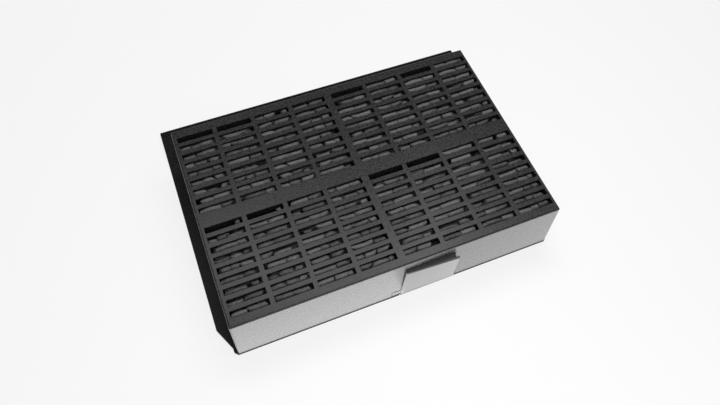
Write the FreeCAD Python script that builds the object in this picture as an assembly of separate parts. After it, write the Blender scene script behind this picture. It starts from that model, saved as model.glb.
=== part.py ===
"""Cooker hood carbon filter: a slotted cassette of carbon pellets on a flanged base plate.

Millimetres. X runs along the cassette's long side, -Y is the latch side and +Z is up.
The origin is on the underside of the base plate, below the centre of the cassette.
"""
import FreeCAD, Part
import math
import os
import random

V = FreeCAD.Vector

# Cassette
housing_length = 250.0
housing_width = 168.0
total_height = 52.0
wall = 2.2
edge_radius = 1.2

# Slotted top, two fields of slots with a solid bar between them
grille_thickness = 2.5
columns = 8
rows_per_field = 9
slot_width = 5.0
left_margin = 3.3
right_margin = 2.4
front_margin = 6.5
rear_margin = 7.3
column_bar = 3.4
centre_bar = 5.7
stiffener_thickness = 1.6
stiffener_depth = 1.2
field_rib_thickness = 1.8
field_rib_depth = 5.5
partition = 2.0

# Base plate
plate_thickness = 3.0
plate_edge_chamfer = 0.5
left_flange = 10.0
right_flange = 17.0
rear_flange = 41.0
lead_in_length = 17.0
lead_in_start = 5.5
lead_in_step = 2.4
flange_corner_radius = 1.0
plate_front_radius = 0.6
flange_rib_height = 2.0
flange_rib_thickness = 1.8
flange_rib_count = 5
flange_rib_end_gap = 6.0
flange_rib_slope = 6.0
air_slot_width = 3.6
air_slot_bar = 4.4
air_slot_columns = 3
air_slot_rim = 9.0

# Locating rim and snap hooks that hold the cassette on its plate
rim_height = 3.5
rim_thickness = 1.6
rim_clearance = 0.25
hook_width = 8.0
hook_thickness = 1.6
hook_height = 11.0
hook_nose = 0.9
hook_nose_height = 2.6
hook_nose_lead = 0.4
hook_nose_flat = 0.5
hook_clearance = 0.3
rear_hook_offset = 30.0

# Finger latch in its pocket at the front
tongue_width = 45.0
tongue_top_width = 41.0
tongue_centre = 22.0
tongue_thickness = 2.2
tongue_foot = 0.4
tongue_drop = 11.3
tongue_foot_reach = 0.3
tongue_top_reach = 3.4
tongue_skew = 1.0
tongue_edge = 0.7
tongue_overlap = 2.0
ledge_thickness = 1.8
stop_lip_thickness = 1.2
stop_lip_height = 1.8
press_angle = 4.0
latch_bar_tail = 6.6
latch_bar_height = 4.8
latch_bar_depth = 7.4
latch_side_gap = 0.3
latch_top_gap = 1.2
latch_bar_gap = 1.2
lintel_radius = 1.5
latch_floor_gap = 0.6
trunnion_radius = 1.6
trunnion_length = 2.2
trunnion_clearance = 0.3
trunnion_inset = 0.2
lug_thickness = 2.4
lug_margin = 1.1
lug_gap = 0.4
pocket_depth = 10.5
pocket_head_room = 1.2
pocket_wall = 1.8

# Leaf spring behind the latch
leaf_thickness = 0.4
leaf_width = 10.0
leaf_bend_radius = 2.8
leaf_height = 30.0
leaf_touch_height = 20.0
leaf_gap = 0.3
leaf_stop_height = 2.0
leaf_stop_thickness = 1.0

# Carbon fill
pellet_diameter = 3.9
pellet_left_gap = 0.5
pellet_right_gap = 2.0
pellet_gap = 0.8
pellet_pair_share = 0.45
pellet_sides = 6
pellet_sink = 0.5
fill_clearance = 0.3
fill_depth_below_grille = 1.6
fill_slope_length = 13.0
fill_slope_drop = 7.5
fill_seed = 11

# Worked out from the sizes above
half_length = housing_length / 2
half_width = housing_width / 2
front_y = -half_width
rear_y = half_width
inner_x = half_length - wall
inner_y = half_width - wall
underside = total_height - grille_thickness
slot_length = (housing_length - left_margin - right_margin - centre_bar
               - (columns - 2) * column_bar) / columns
row_positions = 2 * rows_per_field + 1
row_pitch = (housing_width - front_margin - rear_margin - slot_width) / (row_positions - 1)
first_row = front_y + front_margin + slot_width / 2
middle_y = first_row + rows_per_field * row_pitch
fill_top = underside - fill_depth_below_grille
tongue_top = total_height - tongue_drop
tongue_left = tongue_centre - tongue_width / 2
tongue_right = tongue_centre + tongue_width / 2
bar_left = tongue_left - latch_bar_tail
bar_bottom = plate_thickness + latch_floor_gap
bar_top = bar_bottom + latch_bar_height
pivot_y = front_y + latch_bar_depth - trunnion_radius - trunnion_inset
pivot_z = bar_bottom + latch_bar_height / 2
pocket_left = bar_left - lug_gap - lug_thickness - rim_clearance
pocket_right = tongue_right + lug_gap + lug_thickness + rim_clearance
pocket_back = front_y + pocket_depth
window_top = tongue_top + latch_top_gap
window_right = tongue_centre + tongue_top_width / 2 - tongue_overlap
pocket_top = window_top + pocket_head_room


def block(x0, x1, y0, y1, z0, z1):
    """A box between two corners."""
    return Part.makeBox(x1 - x0, y1 - y0, z1 - z0, V(x0, y0, z0))


def outline_xy(points, z0, z1):
    """A straight-sided plate from a plan outline."""
    face = Part.Face(Part.makePolygon([V(x, y, z0) for x, y in points + points[:1]]))
    return face.extrude(V(0, 0, z1 - z0))


def outline_yz(points, x0, x1):
    """A bar along X from a side outline."""
    face = Part.Face(Part.makePolygon([V(x0, y, z) for y, z in points + points[:1]]))
    return face.extrude(V(x1 - x0, 0, 0))


def edges_where(shape, test):
    """The straight or curved edges of a shape whose centre passes a test."""
    return [edge for edge in shape.Edges if test(edge.BoundBox)]


def upright(bounds):
    return bounds.XLength < 0.01 and bounds.YLength < 0.01


def at_level(z):
    return lambda bounds: abs(bounds.ZMin - z) < 0.01 and abs(bounds.ZMax - z) < 0.01


def slot_starts():
    """Left ends of the slot columns, with the wider bar in the middle."""
    starts = []
    x = -half_length + left_margin
    for column in range(columns):
        starts.append(x)
        x += slot_length + (centre_bar if column == columns // 2 - 1 else column_bar)
    return starts


def row_centres():
    """Centre lines of the slot rows, leaving out the row under the middle bar."""
    return [first_row + row * row_pitch for row in range(row_positions) if row != rows_per_field]


def grille_slots():
    """All the slots of the top as one cutter."""
    return Part.makeCompound([
        block(x, x + slot_length, y - slot_width / 2, y + slot_width / 2, underside, total_height)
        for x in slot_starts() for y in row_centres()])


def stiffeners():
    """Ribs that hang under the bars between slot columns, apart from the centre bar."""
    ribs = []
    for column, x in enumerate(slot_starts()[1:], start=1):
        if column == columns // 2:
            continue
        centre = x - column_bar / 2
        ribs.append(block(centre - stiffener_thickness / 2, centre + stiffener_thickness / 2,
                          -inner_y, inner_y, underside - stiffener_depth, underside))
    return ribs


def field_ribs():
    """The deeper rib behind the last slots of each field, flush with their rear edges."""
    centres = row_centres()
    ribs = []
    for y in (centres[rows_per_field - 1], centres[-1]):
        slot_rear = y + slot_width / 2
        ribs.append(block(-inner_x, inner_x, slot_rear, slot_rear + field_rib_thickness,
                          underside - field_rib_depth, underside))
    return ribs


def partitions():
    """The two walls that cross under the middle bars and part the fill in four."""
    return [
        block(-inner_x, inner_x, middle_y - partition / 2, middle_y + partition / 2,
              plate_thickness, underside),
        block(-partition / 2, partition / 2, -inner_y, inner_y, plate_thickness, underside)]


def pocket_shell():
    """The outer form of the box that keeps carbon out of the latch's pocket."""
    return block(pocket_left - pocket_wall, pocket_right + pocket_wall, front_y + wall / 2,
                 pocket_back + pocket_wall, plate_thickness, pocket_top + pocket_wall)


def pocket_space():
    """The pocket behind the front wall, open below until the base plate closes it."""
    return block(pocket_left, pocket_right, front_y + wall, pocket_back,
                 plate_thickness, pocket_top)


def tongue_side(side, z):
    """X of the tongue's tapered left (-1) or right (1) side at a height."""
    taper = (tongue_width - tongue_top_width) / 2 / (tongue_top - tongue_foot)
    return tongue_centre + side * (tongue_width / 2 - taper * (z - tongue_foot))


def tongue_front(side, z):
    """Y of the tongue's front at its left (-1), middle (0) or right (1) at a height."""
    climb = (z - tongue_foot) / (tongue_top - tongue_foot)
    lean = tongue_top_reach + side * tongue_skew - tongue_foot_reach
    return front_y - tongue_foot_reach - lean * climb


def latch_window():
    """The stepped opening in the front wall: wide at the latch's bar, narrower above."""
    low = block(bar_left - latch_side_gap, tongue_right + latch_side_gap, front_y, front_y + wall,
                plate_thickness, bar_top + latch_bar_gap)
    corners = [(tongue_side(-1, plate_thickness) - latch_side_gap, plate_thickness),
               (tongue_side(-1, window_top) - latch_side_gap, window_top),
               (window_right, window_top), (window_right, plate_thickness)]
    face = Part.Face(Part.makePolygon([V(x, front_y, z) for x, z in corners + corners[:1]]))
    return low.fuse(face.extrude(V(0, wall, 0)))


def hook_places():
    """Wall side and position of each snap hook, as (side, position along the wall)."""
    quarter = housing_width / 4
    third = housing_length / 3
    places = [(side, y) for side in ("left", "right") for y in (-quarter, quarter)]
    places += [("rear", x) for x in (-third, rear_hook_offset, third)]
    places += [("front", x) for x in (-third, third)]
    return places


def facing(shape, side, along):
    """Turns a feature made against the rear wall to its own wall."""
    turned = shape.copy()
    angle = {"rear": 0, "front": 180, "left": 90, "right": -90}[side]
    turned.rotate(V(0, 0, 0), V(0, 0, 1), angle)
    offset = {"rear": V(along, inner_y, 0), "front": V(along, -inner_y, 0),
              "left": V(-inner_x, along, 0), "right": V(inner_x, along, 0)}[side]
    turned.translate(offset)
    return turned


def hook():
    """A snap hook at the rear wall's inner face, which is its Y = 0."""
    face = -hook_clearance
    top = plate_thickness + hook_height
    nose_low = top - hook_nose_height
    ledge = nose_low + hook_nose_lead
    profile = [(face, plate_thickness), (face, nose_low), (face + hook_nose, ledge),
               (face + hook_nose, ledge + hook_nose_flat), (face - hook_nose_lead, top),
               (face - hook_thickness, top), (face - hook_thickness, plate_thickness)]
    return outline_yz(profile, -hook_width / 2, hook_width / 2)


def hook_seat():
    """The shallow recess in the wall that a hook's nose snaps into."""
    top = plate_thickness + hook_height
    return block(-hook_width / 2 - hook_clearance, hook_width / 2 + hook_clearance,
                 -hook_clearance, hook_nose, top - hook_nose_height - hook_clearance, top)


def make_housing():
    """The upper moulding: walls, slotted top, partitions and latch pocket."""
    outer = block(-half_length, half_length, front_y, rear_y, plate_thickness, total_height)
    outer_edges = edges_where(outer, upright) + edges_where(outer, at_level(total_height))
    outer = outer.makeFillet(edge_radius, outer_edges)
    cavity = block(-inner_x, inner_x, -inner_y, inner_y, plate_thickness, underside)
    body = outer.cut(cavity)
    body = body.fuse(partitions() + stiffeners() + field_ribs() + [pocket_shell()])
    seats = [facing(hook_seat(), side, along) for side, along in hook_places()]
    body = body.cut([pocket_space(), latch_window(), grille_slots()] + seats).removeSplitter()
    lintel = edges_where(
        body, lambda bounds: bounds.XLength > tongue_top_width / 2 and at_level(window_top)(bounds)
        and bounds.YMax < front_y + 0.01)
    return body.makeFillet(lintel_radius, lintel)


def plate_outline():
    """Plan of the base plate: flanges at the sides and rear, lead-ins at the front corners.

    The left lead-in has a small step at the corner that the right one lacks.
    """
    right_x = half_length + right_flange
    left_x = -half_length - left_flange
    step_x = -half_length - lead_in_step
    lead_in_y = front_y + lead_in_start
    right_lead_in = lead_in_length * right_flange / left_flange
    right = [(half_length, front_y), (half_length, lead_in_y),
             (right_x, lead_in_y + right_lead_in), (right_x, rear_y + rear_flange)]
    left = [(left_x, rear_y + rear_flange), (left_x, lead_in_y + lead_in_length),
            (step_x, lead_in_y), (step_x, front_y + lead_in_step), (-half_length, front_y)]
    return right + left


def chamber_bounds(side, field):
    """Inner faces of one carbon chamber, as x0, x1, y0, y1."""
    x0, x1 = (-inner_x, -partition / 2) if side == "left" else (partition / 2, inner_x)
    if field == "front":
        return x0, x1, -inner_y, middle_y - partition / 2
    return x0, x1, middle_y + partition / 2, inner_y


chambers = [(field, side) for field in ("rear", "front") for side in ("left", "right")]


def plate_air_slots():
    """Slots under each chamber, kept clear of the rim, the hooks and the latch."""
    cutters = []
    for field, side in chambers:
        x0, x1, y0, y1 = chamber_bounds(side, field)
        x0, x1, y0, y1 = x0 + air_slot_rim, x1 - air_slot_rim, y0 + air_slot_rim, y1 - air_slot_rim
        length = (x1 - x0 - (air_slot_columns - 1) * air_slot_bar) / air_slot_columns
        rows = int((y1 - y0 + air_slot_bar) // (air_slot_width + air_slot_bar))
        for row in range(rows):
            y = y0 + row * (air_slot_width + air_slot_bar)
            for column in range(air_slot_columns):
                x = x0 + column * (length + air_slot_bar)
                if reaches_pocket(x, x + length, y):
                    continue
                cutters.append(block(x, x + length, y, y + air_slot_width, 0, plate_thickness))
    return Part.makeCompound(cutters)


def reaches_pocket(x0, x1, y):
    """Whether something between x0 and x1 with its front at y meets the latch's pocket."""
    margin = pocket_wall + 2 * fill_clearance
    beside = x1 < pocket_left - margin or x0 > pocket_right + margin
    return not beside and y < pocket_back + margin


def locating_rim():
    """Low rims on the plate that fit inside each chamber's walls."""
    rims = []
    for field, side in chambers:
        x0, x1, y0, y1 = chamber_bounds(side, field)
        x0, x1, y0, y1 = x0 + rim_clearance, x1 - rim_clearance, y0 + rim_clearance, y1 - rim_clearance
        top = plate_thickness + rim_height
        ring = block(x0, x1, y0, y1, plate_thickness, top)
        ring = ring.cut(block(x0 + rim_thickness, x1 - rim_thickness, y0 + rim_thickness,
                              y1 - rim_thickness, plate_thickness, top))
        rims.append(ring)
    gap = rim_clearance + pocket_wall
    around_pocket = block(pocket_left - gap, pocket_right + gap, front_y, pocket_back + gap,
                          plate_thickness, plate_thickness + rim_height)
    return [rim.cut(around_pocket) for rim in rims]


def latch_lugs():
    """Two lugs with round seats for the latch's trunnions."""
    seat_radius = trunnion_radius + trunnion_clearance
    depth = seat_radius + lug_margin
    lugs = []
    for x0 in (bar_left - lug_gap - lug_thickness, tongue_right + lug_gap):
        low = block(x0, x0 + lug_thickness, pivot_y - depth, pivot_y + depth,
                    plate_thickness, pivot_z)
        head = Part.makeCylinder(depth, lug_thickness, V(x0, pivot_y, pivot_z), V(1, 0, 0))
        bore = Part.makeCylinder(seat_radius, lug_thickness, V(x0, pivot_y, pivot_z), V(1, 0, 0))
        lugs.append(low.fuse(head).cut(bore))
    return lugs


def leaf_stop():
    """A low rib on the plate that holds the spring's foot against the pocket's back."""
    back = pocket_back - 2 * leaf_gap - leaf_thickness
    return block(tongue_centre - leaf_width / 2, tongue_centre + leaf_width / 2,
                 back - leaf_stop_thickness, back, plate_thickness,
                 plate_thickness + leaf_stop_height)


def flange_ribs():
    """Ribs along the rear flange, sloped down at both ends."""
    y0 = rear_y + rim_clearance
    y1 = rear_y + rear_flange - flange_rib_end_gap
    top = plate_thickness + flange_rib_height
    profile = [(y0, plate_thickness), (y0, top), (y1 - flange_rib_slope, top),
               (y1, plate_thickness)]
    pitch = housing_length / flange_rib_count
    first = -pitch * (flange_rib_count - 1) / 2
    return [outline_yz(profile, first + i * pitch - flange_rib_thickness / 2,
                       first + i * pitch + flange_rib_thickness / 2)
            for i in range(flange_rib_count)]


def make_base_plate():
    """The lower moulding: flanged plate with air slots, rim, hooks and latch lugs."""
    plate = outline_xy(plate_outline(), 0, plate_thickness)
    rear_corners = edges_where(
        plate, lambda bounds: upright(bounds) and bounds.YMin > rear_y + rear_flange - 0.01)
    plate = plate.makeFillet(flange_corner_radius, rear_corners)
    front_corners = edges_where(
        plate, lambda bounds: upright(bounds) and bounds.YMax < front_y + 0.01)
    plate = plate.makeFillet(plate_front_radius, front_corners)
    rear_rim = edges_where(
        plate, lambda bounds: bounds.YMin > rear_y and not upright(bounds)
        and bounds.ZLength < 0.01)
    plate = plate.makeChamfer(plate_edge_chamfer, rear_rim)
    notch = block(tongue_left - latch_side_gap, tongue_right + latch_side_gap, front_y,
                  front_y + tongue_thickness + latch_bar_gap, 0, plate_thickness)
    plate = plate.cut([plate_air_slots(), notch])
    hooks = [facing(hook(), side, along) for side, along in hook_places()]
    return plate.fuse(locating_rim() + latch_lugs() + [leaf_stop()] + flange_ribs()
                      + hooks).removeSplitter()


def tongue_section(side, inward, setback):
    """Side section of the tongue near its left or right end, with its front edges cut back."""
    foot_back = front_y - tongue_foot_reach + tongue_thickness
    head_back = tongue_front(side, tongue_top) + tongue_thickness
    shoulder = tongue_top - tongue_edge
    foot_x = tongue_side(side, tongue_foot) - side * inward
    shoulder_x = tongue_side(side, shoulder) - side * inward
    head_x = tongue_side(side, tongue_top) - side * inward
    points = [V(foot_x, foot_back, tongue_foot),
              V(foot_x, tongue_front(side, tongue_foot) + setback, tongue_foot),
              V(shoulder_x, tongue_front(side, shoulder) + setback, shoulder),
              V(head_x, tongue_front(side, tongue_top) + max(setback, tongue_edge), tongue_top),
              V(head_x, head_back, tongue_top)]
    return Part.makePolygon(points + points[:1])


def tongue_ledge():
    """The tongue's top, which runs in under the lintel and ends in a stop lip behind it."""
    left = tongue_side(-1, tongue_top)
    right = window_right - latch_side_gap
    lip_front = front_y + wall + latch_side_gap
    lip_back = lip_front + stop_lip_thickness
    low = tongue_top - ledge_thickness
    inside = tongue_thickness / 2
    plan = [(left, tongue_front(-1, low) + inside), (right, tongue_front(1, low) + inside),
            (right, lip_back), (left, lip_back)]
    lip = block(left, right, lip_front, lip_back, low, tongue_top + stop_lip_height)
    return outline_xy(plan, low, tongue_top).fuse(lip)


def wall_relief():
    """What the front wall sweeps, beside its window, past the tongue as the latch is pressed."""
    still = block(window_right - latch_side_gap, tongue_right + wall, front_y - latch_side_gap,
                  front_y + 2 * wall, bar_top + latch_bar_gap - latch_side_gap, total_height)
    pressed = still.copy()
    pressed.rotate(V(0, pivot_y, pivot_z), V(1, 0, 0), press_angle)
    return still.fuse(pressed)


def make_finger_latch():
    """The latch: a leaning, slightly twisted tongue with its ledge, bar and two trunnions."""
    ends = [(-1, 0, tongue_edge), (-1, tongue_edge, 0), (1, tongue_edge, 0), (1, 0, tongue_edge)]
    sections = [tongue_section(*end) for end in ends]
    strips = [Part.makeLoft(list(pair), True, True) for pair in zip(sections, sections[1:])]
    tongue = strips[0].fuse(strips[1:] + [tongue_ledge()]).cut(wall_relief())
    bar = block(bar_left, tongue_right, front_y, front_y + latch_bar_depth, bar_bottom, bar_top)
    trunnions = [
        Part.makeCylinder(trunnion_radius, trunnion_length, V(x, pivot_y, pivot_z), V(1, 0, 0))
        for x in (bar_left - trunnion_length, tongue_right)]
    return tongue.fuse([bar] + trunnions).removeSplitter()


def make_latch_spring():
    """A bent steel leaf: foot against the pocket's back, free end behind the tongue."""
    back = pocket_back - leaf_gap
    inner = back - leaf_thickness
    bend_y = inner - leaf_bend_radius
    outer_radius = leaf_bend_radius + leaf_thickness
    tip = tongue_front(0, leaf_touch_height) + tongue_thickness + leaf_gap
    x0 = tongue_centre - leaf_width / 2
    foot = plate_thickness + leaf_gap
    far_outer = V(x0, bend_y - outer_radius, leaf_height)
    far_inner = V(x0, bend_y - leaf_bend_radius, leaf_height)
    start_outer = V(x0, back, leaf_height)
    start_inner = V(x0, inner, leaf_height)
    crown_outer = V(x0, bend_y, leaf_height + outer_radius)
    crown_inner = V(x0, bend_y, leaf_height + leaf_bend_radius)
    tip_outer = V(x0, tip, leaf_touch_height)
    tip_inner = V(x0, tip + leaf_thickness, leaf_touch_height)
    edges = [Part.makeLine(V(x0, back, foot), start_outer),
             Part.Arc(start_outer, crown_outer, far_outer).toShape(),
             Part.makeLine(far_outer, tip_outer),
             Part.makeLine(tip_outer, tip_inner),
             Part.makeLine(tip_inner, far_inner),
             Part.Arc(far_inner, crown_inner, start_inner).toShape(),
             Part.makeLine(start_inner, V(x0, inner, foot)),
             Part.makeLine(V(x0, inner, foot), V(x0, back, foot))]
    return Part.Face(Part.Wire(edges)).extrude(V(leaf_width, 0, 0))


def pellet(x, y, z, length, yaw):
    """One extruded carbon pellet lying along X, turned a little about Z."""
    radius = pellet_diameter / 2
    corners = [V(-length / 2, radius * math.cos(math.radians(angle)),
                 radius * math.sin(math.radians(angle)))
               for angle in range(0, 360, 360 // pellet_sides)]
    solid = Part.Face(Part.makePolygon(corners + corners[:1])).extrude(V(length, 0, 0))
    solid.rotate(V(0, 0, 0), V(0, 0, 1), yaw)
    solid.translate(V(x, y, z))
    return solid


def pellet_spans(start, chance):
    """Where one or two pellets lie along a slot, as (left end, length)."""
    left = start + pellet_left_gap
    run = slot_length - pellet_left_gap - pellet_right_gap
    if chance.random() > pellet_pair_share:
        return [(left, run)]
    first = run * chance.uniform(0.35, 0.65) - pellet_gap / 2
    return [(left, first), (left + first + pellet_gap, run - first - pellet_gap)]


def top_pellets(x0, x1, y0, y1, chance):
    """The pellets that lie along the slots over the level fill, a little sunk in it."""
    room = (slot_width - pellet_diameter) / 2 - fill_clearance
    pellets = []
    for start in slot_starts():
        for y in row_centres():
            if not (x0 < start < x1 and y0 < y < y1 - fill_slope_length):
                continue
            for left, length in pellet_spans(start, chance):
                sink = pellet_sink * chance.uniform(0.8, 2.0)
                level = fill_top + pellet_diameter / 2 - sink
                yaw = chance.uniform(-1, 1) * math.degrees(math.atan2(room, length / 2))
                pellets.append(pellet(left + length / 2, y, level, length, yaw))
    return pellets


def make_carbon(side, field, chance):
    """The carbon of one chamber: a settled bed with its top layer of pellets standing out."""
    x0, x1, y0, y1 = chamber_bounds(side, field)
    x0, x1, y0, y1 = x0 + fill_clearance, x1 - fill_clearance, y0 + fill_clearance, y1 - fill_clearance
    inset = rim_clearance + rim_thickness + hook_clearance
    foot_top = plate_thickness + hook_height + fill_clearance
    floor = plate_thickness + fill_clearance
    profile = [(y0, foot_top), (y0, fill_top), (y1 - fill_slope_length, fill_top),
               (y1, fill_top - fill_slope_drop), (y1, foot_top)]
    bed = outline_yz(profile, x0, x1)
    bed = bed.fuse(block(x0 + inset, x1 - inset, y0 + inset, y1 - inset, floor, foot_top))
    bed = bed.fuse(top_pellets(x0, x1, y0, y1, chance))
    around = pocket_wall + fill_clearance
    keep_out = block(pocket_left - around, pocket_right + around, front_y, pocket_back + around,
                     plate_thickness, pocket_top + around)
    return bed.cut(keep_out)


def main():
    os.makedirs("parts", exist_ok=True)
    chance = random.Random(fill_seed)
    nodes = {"housing": make_housing(),
             "base_plate": make_base_plate(),
             "finger_latch": make_finger_latch(),
             "latch_spring": make_latch_spring()}
    for field, side in chambers:
        nodes["carbon_%s_%s" % (field, side)] = make_carbon(side, field, chance)
    for name, shape in nodes.items():
        print("%-20s solids %d valid %s volume %.0f mm3" %
              (name, len(shape.Solids), shape.isValid(), shape.Volume))
        shape.exportStep("parts/%s.step" % name)


main()
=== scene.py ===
"""Cooker hood carbon filter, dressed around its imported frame.

Metres, in the same frame as the CAD: X along the cassette, -Y the latch side, +Z up.
"""
import math
import random

import bpy
import numpy as np
from mathutils import Matrix, Vector


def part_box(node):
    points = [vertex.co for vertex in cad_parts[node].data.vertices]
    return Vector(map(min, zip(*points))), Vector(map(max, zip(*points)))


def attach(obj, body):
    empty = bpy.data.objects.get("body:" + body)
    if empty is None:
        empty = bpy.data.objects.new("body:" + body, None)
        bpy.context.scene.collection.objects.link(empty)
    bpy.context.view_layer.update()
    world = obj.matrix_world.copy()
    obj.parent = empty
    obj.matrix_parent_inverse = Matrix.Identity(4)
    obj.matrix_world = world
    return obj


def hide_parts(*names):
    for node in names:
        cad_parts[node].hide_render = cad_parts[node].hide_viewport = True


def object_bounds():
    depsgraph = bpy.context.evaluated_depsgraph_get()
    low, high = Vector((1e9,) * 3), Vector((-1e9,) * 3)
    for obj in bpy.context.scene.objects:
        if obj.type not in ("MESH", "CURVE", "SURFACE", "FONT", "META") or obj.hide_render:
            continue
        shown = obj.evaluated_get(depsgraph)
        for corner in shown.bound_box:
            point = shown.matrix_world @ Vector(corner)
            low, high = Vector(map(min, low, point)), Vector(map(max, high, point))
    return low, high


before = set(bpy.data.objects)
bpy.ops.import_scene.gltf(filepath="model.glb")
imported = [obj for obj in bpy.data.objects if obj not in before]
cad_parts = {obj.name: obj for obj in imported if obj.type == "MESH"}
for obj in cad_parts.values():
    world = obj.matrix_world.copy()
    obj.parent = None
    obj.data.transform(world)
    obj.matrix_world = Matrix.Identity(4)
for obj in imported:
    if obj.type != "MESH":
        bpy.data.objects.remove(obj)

cad_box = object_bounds()
scene = bpy.context.scene
mm = 0.001

# Slots of the grille, from the housing's own sizes
housing_length = 250.0 * mm
housing_width = 168.0 * mm
slot_width = 5.0 * mm
left_margin = 3.3 * mm
right_margin = 2.4 * mm
front_margin = 6.5 * mm
rear_margin = 7.3 * mm
column_bar = 3.4 * mm
centre_bar = 5.7 * mm
columns = 8
rows_per_field = 9
slot_length = (housing_length - left_margin - right_margin - centre_bar
               - (columns - 2) * column_bar) / columns
row_pitch = (housing_width - front_margin - rear_margin - slot_width) / (2 * rows_per_field)
first_row = -housing_width / 2 + front_margin + slot_width / 2

# Carbon pellets
pellet_radius = 2.05 * mm
pellet_lengths = [4.5 * mm, 7.0 * mm, 9.5 * mm, 12.0 * mm, 14.5 * mm, 17.0 * mm]
pellet_sides = 10
pellet_middle_share = 0.3
pellet_end_wear = 0.5 * mm
pellet_end_slant = 32
pellet_smooth_angle = 50

# Pellets that lie in the slots
slot_pellet_lengths = (6.5, 8.5, 10.0, 11.5, 13.0, 16.0)
longest_slot_pellet = 18.0 * mm
shortest_slot_pellet = 3.2 * mm
least_free_length = 2.8 * mm
gap_chance = 0.1
deep_chance = 0.2
slot_pellet_top = 51.6 * mm
pellet_ceiling = cad_box[1][2] - 0.05 * mm
slot_end_gap = 2.2 * mm
empty_slots = ((0, 8), (1, 8), (4, 8), (5, 8), (0, 17), (1, 17), (4, 17), (6, 17))

# Loose bed under the slots
bed_skew = 24.0
steepest_rest = 0.25
bed_wave_height = 0.5 * mm
core_gap = 2.2 * mm
core_bevel = 1.5 * mm
under_inset = 2.3 * mm
map_cell = 0.6 * mm
bed_top = 47.8 * mm
bed_depth = 6.5 * mm
bottom_layer_depth = 7.6 * mm
rear_slope_length = 13.0 * mm
rear_slope_drop = 8.0 * mm
tries_per_pellet = 12
misses_allowed = 60
samples_along = 26
samples_across = 9

# Latch pocket inside the front wall, which the carbon lies around and over
pocket_box = ((-11.95 * mm, -84.0 * mm), (49.35 * mm, -71.7 * mm))
pocket_roof = 44.9 * mm


def clear_selection():
    """Nothing selected and nothing in edit mode."""
    if bpy.context.object and bpy.context.object.mode != "OBJECT":
        bpy.ops.object.mode_set(mode="OBJECT")
    bpy.ops.object.select_all(action="DESELECT")


def new_finish(name):
    """An empty node material, with its nodes, links and main shader."""
    finish = bpy.data.materials.new(name)
    finish.use_nodes = True
    tree = finish.node_tree
    return finish, tree.nodes, tree.links, tree.nodes["Principled BSDF"]


def noise(nodes, links, coords, scale, detail, stretch=(1, 1, 1)):
    """A noise pattern on the object's own coordinates."""
    mapping = nodes.new("ShaderNodeMapping")
    mapping.inputs["Scale"].default_value = stretch
    links.new(coords.outputs["Object"], mapping.inputs["Vector"])
    pattern = nodes.new("ShaderNodeTexNoise")
    pattern.inputs["Scale"].default_value = scale
    pattern.inputs["Detail"].default_value = detail
    links.new(mapping.outputs["Vector"], pattern.inputs["Vector"])
    return pattern.outputs["Fac"]


def between(nodes, links, factor, low, high):
    """A value that runs from low to high as a noise runs over its middle range."""
    spread = nodes.new("ShaderNodeMapRange")
    spread.inputs["From Min"].default_value = 0.3
    spread.inputs["From Max"].default_value = 0.7
    spread.inputs["To Min"].default_value = low
    spread.inputs["To Max"].default_value = high
    links.new(factor, spread.inputs["Value"])
    return spread.outputs["Result"]


def grey_mix(nodes, links, factor, dark, light):
    """A grey between two shades."""
    mix = nodes.new("ShaderNodeMix")
    mix.data_type = "RGBA"
    mix.inputs["A"].default_value = (dark, dark, dark * 1.02, 1)
    mix.inputs["B"].default_value = (light, light, light * 1.02, 1)
    links.new(factor, mix.inputs["Factor"])
    return mix.outputs["Result"]


def added(nodes, links, first, second, share):
    """The first height with a share of the second on it."""
    total = nodes.new("ShaderNodeMath")
    total.operation = "MULTIPLY_ADD"
    total.inputs[1].default_value = share
    links.new(second, total.inputs[0])
    links.new(first, total.inputs[2])
    return total.outputs["Value"]


def bumped(nodes, links, height, shader, depth):
    """Relief of a given depth in metres under a shader."""
    bump = nodes.new("ShaderNodeBump")
    bump.inputs["Strength"].default_value = 1.0
    bump.inputs["Distance"].default_value = depth
    links.new(height, bump.inputs["Height"])
    links.new(bump.outputs["Normal"], shader.inputs["Normal"])


def moulded_plastic(name, shade, gloss_level, roughness, grain_depth, speckle=0.9):
    """Matt plastic from a spark-eroded mould: clouds and speckle in tone, speckle in gloss."""
    finish, nodes, links, shader = new_finish(name)
    coords = nodes.new("ShaderNodeTexCoord")
    clouds = between(nodes, links, noise(nodes, links, coords, 45.0, 4.0), 0.0, 1.0)
    grain = noise(nodes, links, coords, 850.0, 1.0)
    dots = between(nodes, links, grain, 1 - speckle, 1 + speckle)
    cloudy = grey_mix(nodes, links, clouds, shade * 0.94, shade * 1.06)
    speckled = nodes.new("ShaderNodeVectorMath")
    speckled.operation = "SCALE"
    links.new(cloudy, speckled.inputs[0])
    links.new(dots, speckled.inputs["Scale"])
    links.new(speckled.outputs["Vector"], shader.inputs["Base Color"])
    gloss_spread = speckle * 0.06
    gloss = between(nodes, links, grain, roughness - gloss_spread, roughness + gloss_spread)
    links.new(gloss, shader.inputs["Roughness"])
    shader.inputs["Specular IOR Level"].default_value = gloss_level
    fine = noise(nodes, links, coords, 1900.0, 3.0)
    bumped(nodes, links, added(nodes, links, grain, fine, 0.6), shader, grain_depth)
    return finish


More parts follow.
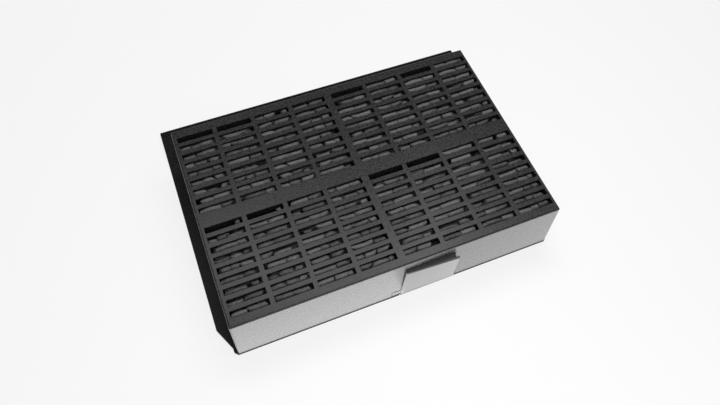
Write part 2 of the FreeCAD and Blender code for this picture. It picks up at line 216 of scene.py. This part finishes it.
def carbon_finish():
    """Extruded carbon: dull dusty rods, each with its own tone."""
    finish, nodes, links, shader = new_finish("pelleted_carbon")
    coords = nodes.new("ShaderNodeTexCoord")
    tone = nodes.new("ShaderNodeAttribute")
    tone.attribute_name = "tone"
    dust = between(nodes, links, noise(nodes, links, coords, 420.0, 4.0), -0.3, 0.3)
    sum_up = nodes.new("ShaderNodeMath")
    sum_up.operation = "ADD"
    links.new(tone.outputs["Fac"], sum_up.inputs[0])
    links.new(dust, sum_up.inputs[1])
    shade = grey_mix(nodes, links, sum_up.outputs["Value"], 0.028, 0.1)
    links.new(shade, shader.inputs["Base Color"])
    shader.inputs["Roughness"].default_value = 0.52
    shader.inputs["Specular IOR Level"].default_value = 0.25
    pits = noise(nodes, links, coords, 1900.0, 3.0)
    bumped(nodes, links, pits, shader, 0.12 * mm)
    return finish


def spring_finish():
    """Bright rolled strip, brushed along its length."""
    finish, nodes, links, shader = new_finish("spring_strip")
    coords = nodes.new("ShaderNodeTexCoord")
    brush = noise(nodes, links, coords, 900.0, 3.0, (1, 1, 0.03))
    links.new(grey_mix(nodes, links, brush, 0.5, 0.66), shader.inputs["Base Color"])
    links.new(between(nodes, links, brush, 0.24, 0.36), shader.inputs["Roughness"])
    shader.inputs["Metallic"].default_value = 1.0
    return finish


def give_finish(node, finish):
    """Sets a carried-over CAD node's material."""
    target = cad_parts[node]
    target.data.materials.clear()
    target.data.materials.append(finish)


def extrude_end(direction, step, narrowing, tip_centre):
    """Pushes the selected end face out along X and makes it a little smaller."""
    bpy.ops.mesh.extrude_region_move(TRANSFORM_OT_translate={"value": (direction * step, 0, 0)})
    bpy.ops.transform.resize(value=(1, narrowing, narrowing), center_override=tip_centre)


def model_pellet(length, chance):
    """One broken length of extruded rod along X, a little bent, with worn slanting ends."""
    clear_selection()
    middle = length * pellet_middle_share
    bpy.ops.mesh.primitive_cylinder_add(vertices=pellet_sides, radius=pellet_radius,
                                        depth=middle, rotation=(0, math.pi / 2, 0))
    rod = bpy.context.object
    bpy.ops.object.transform_apply(location=True, rotation=True, scale=True)
    for direction in (-1, 1):
        bpy.ops.object.mode_set(mode="EDIT")
        bpy.ops.mesh.select_all(action="DESELECT")
        bpy.ops.object.mode_set(mode="OBJECT")
        for face in rod.data.polygons:
            face.select = face.normal.x * direction > 0.9
        bpy.ops.object.mode_set(mode="EDIT")
        bpy.ops.mesh.select_mode(type="FACE")
        reach = (length - middle) / 2 - pellet_end_wear
        bend = chance.uniform(0.1, 0.5) * mm
        extrude_end(direction, reach, 1.0, (direction * length / 2, 0, 0))
        bpy.ops.transform.translate(value=(0, 0, bend))
        slant = math.radians(chance.uniform(-pellet_end_slant, pellet_end_slant))
        hinge = (direction * (length / 2 - pellet_end_wear), 0, bend)
        bpy.ops.transform.rotate(value=slant, orient_axis="Y", center_override=hinge)
        extrude_end(direction, pellet_end_wear, chance.uniform(0.66, 0.8),
                    (direction * length / 2, 0, bend))
        bpy.ops.object.mode_set(mode="OBJECT")
    clear_selection()
    rod.select_set(True)
    bpy.context.view_layer.objects.active = rod
    bpy.ops.object.shade_smooth_by_angle(angle=math.radians(pellet_smooth_angle))
    return rod


class Chamber:
    """One carbon chamber as maps of the ground that pellets rest on and the roof over them."""

    def __init__(self, low, high):
        self.low = low
        self.high = high
        across = int((high.x - low.x) / map_cell)
        deep = int((high.y - low.y) / map_cell)
        self.x = low.x + (np.arange(across) + 0.5) * map_cell
        self.y = low.y + (np.arange(deep) + 0.5) * map_cell
        self.ground = np.zeros((across, deep))
        self.roof = np.zeros((across, deep))

    def resting_place(self, x, y, yaw, length, radius):
        """Height and slope at which a pellet comes to rest at x, y, or None if it doesn't fit."""
        along = np.linspace(-length / 2, length / 2, samples_along)
        across = radius * np.linspace(-0.95, 0.95, samples_across)
        lift = np.sqrt(radius ** 2 - across ** 2)
        px = x + along[:, None] * math.cos(yaw) - across[None] * math.sin(yaw)
        py = y + along[:, None] * math.sin(yaw) + across[None] * math.cos(yaw)
        ix = ((px - self.low.x) / map_cell).astype(int)
        iy = ((py - self.low.y) / map_cell).astype(int)
        if px.min() < self.low.x or py.min() < self.low.y:
            return None
        if ix.max() >= len(self.x) or iy.max() >= len(self.y):
            return None
        held = (self.ground[ix, iy] + lift).max(axis=1)
        back, fore = along < 0, along >= 0
        sb, sf = along[back][:, None], along[fore][None]
        hb, hf = held[back][:, None], held[fore][None]
        level = (hb * sf - hf * sb) / (sf - sb)
        touch = np.unravel_index(level.argmax(), level.shape)
        slope = (hf[0, touch[1]] - hb[touch[0], 0]) / (sf[0, touch[1]] - sb[touch[0], 0])
        centre = level.max()
        axis = (centre + slope * along)[:, None]
        if abs(slope) > steepest_rest or (axis + radius > self.roof[ix, iy]).any():
            return None
        return centre, slope, ix, iy, axis + lift

    def lower_roof(self, x, y, length, height):
        """Keeps the loose bed below a pellet that already lies in a slot."""
        under = ((np.abs(self.x - x) < length / 2)[:, None]
                 & (np.abs(self.y - y) < pellet_radius)[None])
        self.roof = np.where(under, np.minimum(self.roof, height), self.roof)

    def fill(self, chance):
        """Drops pellets until no more fit, each into the lowest of a few places."""
        placed = []
        misses = 0
        while misses < misses_allowed:
            best = None
            for _ in range(tries_per_pellet):
                kind = chance.randrange(1, len(pellet_lengths))
                width = chance.uniform(0.94, 1.02)
                yaw = math.radians(chance.gauss(0, bed_skew))
                x = chance.uniform(self.low.x, self.high.x)
                y = chance.uniform(self.low.y, self.high.y)
                rest = self.resting_place(x, y, yaw, pellet_lengths[kind], pellet_radius * width)
                if rest and (best is None or rest[0] < best[0][0]):
                    best = (rest, kind, width, yaw, x, y)
            if best is None:
                misses += 1
                continue
            misses = 0
            (centre, slope, ix, iy, tops), kind, width, yaw, x, y = best
            np.maximum.at(self.ground, (ix, iy), tops)
            turn = lie_at((x, y, centre), yaw, math.atan(slope), chance.uniform(0, math.tau),
                          (1, width, width))
            placed.append((kind, turn, chance.random()))
        return placed


def lie_at(place, yaw, slope, roll, size):
    """The matrix that lays a pellet in its place."""
    return (Matrix.Translation(place) @ Matrix.Rotation(yaw, 4, "Z")
            @ Matrix.Rotation(-slope, 4, "Y") @ Matrix.Rotation(roll, 4, "X")
            @ Matrix.Diagonal((*size, 1)))


def slots_over(low, high):
    """The slots above one chamber, as (left end, centre line, column, row)."""
    found = []
    left = -housing_length / 2 + left_margin
    for column in range(columns):
        for row in range(2 * rows_per_field + 1):
            y = first_row + row * row_pitch
            if row != rows_per_field and low.x < left < high.x and low.y < y < high.y:
                found.append((left, y, column, row))
        left += slot_length + (centre_bar if column == columns // 2 - 1 else column_bar)
    return found


def slope_drop(y, high):
    """How far the carbon has settled near its chamber's rear wall."""
    return rear_slope_drop * np.clip((y - (high.y - rear_slope_length)) / rear_slope_length, 0, 1)


def slot_pellets(chamber, chance):
    """Pellets that lie in line along the slots, end to end with thin gaps."""
    placed = []
    for left, y, column, row in slots_over(chamber.low, chamber.high):
        x = left + chance.uniform(0.02, 0.25) * mm
        end = left + slot_length - slot_end_gap - chance.uniform(-0.3, 0.4) * mm
        if (column, row - (row > rows_per_field)) in empty_slots:
            x = end - chance.uniform(0.0, 4.0) * mm
        while end - x > least_free_length:
            length = min(chance.choice(slot_pellet_lengths) * mm, end - x)
            if end - x - length < shortest_slot_pellet:
                length = end - x
            length = min(length, longest_slot_pellet)
            if chance.random() < gap_chance:
                x += chance.uniform(2.0, 3.6) * mm
                continue
            kind = min(range(len(pellet_lengths)), key=lambda k: abs(pellet_lengths[k] - length))
            width = chance.uniform(0.9, 1.0)
            sunk = abs(chance.gauss(0, 0.4)) * mm
            if chance.random() < deep_chance:
                sunk += chance.uniform(0.8, 2.2) * mm
            top = slot_pellet_top - sunk
            room = slot_width / 2 - pellet_radius * width
            aside = chance.uniform(0.3, 0.95) * room
            skew = (room - aside) / (length / 2)
            place = (x + length / 2, y + aside, top - pellet_radius * width)
            size = (length / pellet_lengths[kind], width, width)
            turn = lie_at(place, chance.uniform(-skew, skew), math.radians(chance.gauss(0, 1.5)),
                          chance.uniform(0, math.tau), size)
            placed.append((kind, turn, chance.random()))
            chamber.lower_roof(place[0], place[1], length, place[2] - pellet_radius - 0.2 * mm)
            x += length + chance.uniform(0.1, 0.6) * mm
    return placed


def core_block(low, high, bottom, top, name):
    """The hidden middle of the bed, kept clear of the latch's pocket and sloping at its rear."""
    clear_selection()
    bpy.ops.mesh.primitive_cube_add(size=1)
    core = bpy.context.object
    core.name = name
    gap = core_gap
    front = low.y + gap
    if front < pocket_box[1][1]:
        front = pocket_box[1][1] + gap
    span = Vector((high.x - low.x - 2 * gap, high.y - gap - front, top - bottom))
    core.scale = span
    core.location = ((low.x + high.x) / 2, (front + high.y - gap) / 2, (bottom + top) / 2)
    bpy.ops.object.transform_apply(location=True, rotation=True, scale=True)
    bpy.ops.object.mode_set(mode="EDIT")
    bpy.ops.mesh.select_all(action="SELECT")
    bpy.ops.mesh.bisect(plane_co=(0, high.y - rear_slope_length, 0), plane_no=(0, 1, 0))
    bpy.ops.mesh.select_all(action="DESELECT")
    bpy.ops.object.mode_set(mode="OBJECT")
    for point in core.data.vertices:
        point.select = point.co.y > high.y - gap - mm and point.co.z > top - mm
    bpy.ops.object.mode_set(mode="EDIT")
    bpy.ops.mesh.select_mode(type="VERT")
    bpy.ops.transform.translate(value=(0, 0, -rear_slope_drop))
    bpy.ops.mesh.select_all(action="SELECT")
    bpy.ops.mesh.bevel(offset=core_bevel, segments=2, affect="EDGES")
    bpy.ops.object.mode_set(mode="OBJECT")
    return core


def keep_below(mesh, height):
    """Lowers a piece that would stand out above a height."""
    top = max(point.co.z for point in mesh.vertices)
    if top > height:
        mesh.transform(Matrix.Translation((0, 0, height - top)))


def tone_of(mesh, value):
    """Stores a piece's own tone on its points."""
    layer = mesh.attributes.new("tone", "FLOAT", "POINT")
    layer.data.foreach_set("value", [value] * len(mesh.vertices))


def carbon_bed(side, field, masters, finish, chance):
    """The pellets of one chamber near its top and bottom, around its core, as one piece."""
    node = "carbon_%s_%s" % (field, side)
    low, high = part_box(node)
    chamber = Chamber(low, high)
    gx, gy = np.meshgrid(chamber.x, chamber.y, indexing="ij")
    ripple = np.sin(gx * 71 + gy * 53) * np.sin(gy * 97 - gx * 31)
    waves = bed_wave_height * np.abs(ripple)
    chamber.roof = bed_top - slope_drop(gy, high) - waves
    chamber.ground = chamber.roof - bed_depth
    inside = ((gx > pocket_box[0][0]) & (gx < pocket_box[1][0]) & (gy < pocket_box[1][1]))
    if field == "front":
        chamber.ground = np.where(inside, pocket_roof, chamber.ground)
    placed = slot_pellets(chamber, chance)
    placed += chamber.fill(chance)
    top_count = len(placed)
    inset = Vector((under_inset, under_inset, 0))
    under = Chamber(low + inset, high - inset)
    gx, gy = np.meshgrid(under.x, under.y, indexing="ij")
    under.ground = np.full(gx.shape, low.z)
    blocked = ((gx > pocket_box[0][0] - mm) & (gx < pocket_box[1][0] + mm)
               & (gy < pocket_box[1][1] + mm))
    under.roof = np.where(blocked, 0.0, low.z + bottom_layer_depth)
    placed += under.fill(chance)
    print(node, "pellets", top_count, len(placed) - top_count)
    clear_selection()
    core = core_block(low, high, low.z + 4 * mm, bed_top - bed_depth, "bed_%s_%s" % (field, side))
    tone_of(core.data, 0.0)
    pieces = [core]
    for kind, turn, tone in placed:
        mesh = masters[kind].data.copy()
        mesh.transform(turn)
        keep_below(mesh, pellet_ceiling)
        tone_of(mesh, tone)
        piece = bpy.data.objects.new("pellet", mesh)
        scene.collection.objects.link(piece)
        pieces.append(piece)
    for piece in pieces:
        piece.select_set(True)
    bpy.context.view_layer.objects.active = core
    bpy.ops.object.join()
    core.data.materials.clear()
    core.data.materials.append(finish)
    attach(core, "cassette")
    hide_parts(node)


def white_to_camera(nodes, links, share):
    """A factor of share where the camera, a reflection or a clear body looks straight at it."""
    path = nodes.new("ShaderNodeLightPath")
    total = path.outputs["Is Camera Ray"]
    for ray in ("Is Glossy Ray", "Is Transmission Ray"):
        adder = nodes.new("ShaderNodeMath")
        adder.operation = "MAXIMUM"
        links.new(total, adder.inputs[0])
        links.new(path.outputs[ray], adder.inputs[1])
        total = adder.outputs["Value"]
    scaled = nodes.new("ShaderNodeMath")
    scaled.operation = "MULTIPLY"
    scaled.inputs[1].default_value = share
    links.new(total, scaled.inputs[0])
    return scaled.outputs["Value"]


def pale_floor():
    """A plain pale floor that keeps a light shadow."""
    clear_selection()
    bpy.ops.mesh.primitive_plane_add(size=8, location=(0, 0, -0.2 * mm))
    floor = bpy.context.object
    floor.name = "floor"
    bpy.ops.object.transform_apply(location=True, rotation=True, scale=True)
    finish, nodes, links, shader = new_finish("pale_floor")
    shader.inputs["Base Color"].default_value = (0.82, 0.82, 0.82, 1)
    shader.inputs["Roughness"].default_value = 0.9
    shader.inputs["Specular IOR Level"].default_value = 0.1
    white = nodes.new("ShaderNodeEmission")
    white.inputs["Color"].default_value = (1, 1, 1, 1)
    white.inputs["Strength"].default_value = 1.0
    mix = nodes.new("ShaderNodeMixShader")
    links.new(white_to_camera(nodes, links, 0.8), mix.inputs["Fac"])
    links.new(shader.outputs["BSDF"], mix.inputs[1])
    links.new(white.outputs["Emission"], mix.inputs[2])
    links.new(mix.outputs["Shader"], nodes["Material Output"].inputs["Surface"])
    floor.data.materials.append(finish)


def lamp(name, place, aim, power, width, height):
    """A soft rectangular lamp that the camera doesn't see."""
    data = bpy.data.lights.new(name, "AREA")
    data.shape = "RECTANGLE"
    data.size, data.size_y = width, height
    data.energy = power
    holder = bpy.data.objects.new(name, data)
    scene.collection.objects.link(holder)
    holder.location = place
    holder.rotation_euler = (Vector(aim) - Vector(place)).to_track_quat("-Z", "Y").to_euler()
    holder.visible_camera = False


def studio():
    """World, lamps, floor and camera."""
    world = bpy.data.worlds.new("studio")
    scene.world = world
    world.use_nodes = True
    nodes, links = world.node_tree.nodes, world.node_tree.links
    background = nodes["Background"]
    level = nodes.new("ShaderNodeMapRange")
    level.inputs["To Min"].default_value = 0.08
    level.inputs["To Max"].default_value = 1.0
    links.new(white_to_camera(nodes, links, 1.0), level.inputs["Value"])
    background.inputs["Color"].default_value = (1, 1, 1, 1)
    links.new(level.outputs["Result"], background.inputs["Strength"])
    pale_floor()
    lamp("table_glow", (-0.03, -0.2345, 0.001), (-0.03, -0.2345, 1.0), 1.1, 0.44, 0.3)
    lamp("left_glow", (-0.062, -0.2345, 0.0015), (-0.062, -0.2345, 1.0), 0.2, 0.13, 0.3)
    lamp("side_glow", (-0.32, -0.05, 0.001), (-0.32, -0.05, 1.0), 0.3, 0.34, 0.4)
    lamp("edge_lamp", (-0.05, -0.45, 0.14), (-0.02, -0.08, 0.05), 0.8, 0.6, 0.1)
    lamp("front_lamp", (-0.1, -0.3, 0.56), (0.0, 0.0, 0.03), 0.6, 0.3, 0.2)
    lamp("overhead_lamp", (0.04, -0.1, 0.3), (0.02, -0.09, 0.04), 0.42, 0.5, 0.06)
    lamp("top_lamp", (0.13, 0.28, 0.96), (0.0, 0.0, 0.0), 5.4, 0.8, 0.18)
    data = bpy.data.cameras.new("photo_camera")
    data.sensor_width = 36.0
    data.lens = 34.877
    data.shift_x = -0.0257
    data.shift_y = -0.0751
    camera = bpy.data.objects.new("photo_camera", data)
    scene.collection.objects.link(camera)
    camera.location = (-0.11056, -0.26161, 0.49522)
    camera.rotation_euler = [math.radians(turn) for turn in (34.42, -2.17, -22.22)]
    scene.camera = camera
    scene.view_settings.view_transform = "Standard"


def dress():
    """Finishes on the CAD nodes and the pellets in their chambers."""
    give_finish("housing", moulded_plastic("housing_plastic", shade=0.015, gloss_level=0.14,
                                           roughness=0.29, grain_depth=0.035 * mm))
    # The base plate is shaded darker than the housing: partly its own black plastic, partly
    # painted shade standing in for the shadow that falls on its flange.
    give_finish("base_plate", moulded_plastic("plate_plastic", shade=0.008, gloss_level=0.05,
                                              roughness=0.36, grain_depth=0.03 * mm))
    # The latch is the housing's plastic made lighter and glossier: painted light, so that its
    # ledge reads as lit.
    give_finish("finger_latch", moulded_plastic("latch_plastic", shade=0.045, gloss_level=0.29,
                                                roughness=0.44, grain_depth=0.03 * mm,
                                                speckle=0.12))
    give_finish("latch_spring", spring_finish())
    chance = random.Random(5)
    masters = [model_pellet(length, chance) for length in pellet_lengths]
    finish = carbon_finish()
    for field in ("rear", "front"):
        for side in ("left", "right"):
            carbon_bed(side, field, masters, finish, chance)
    for master in masters:
        bpy.data.objects.remove(master)


dress()
studio()
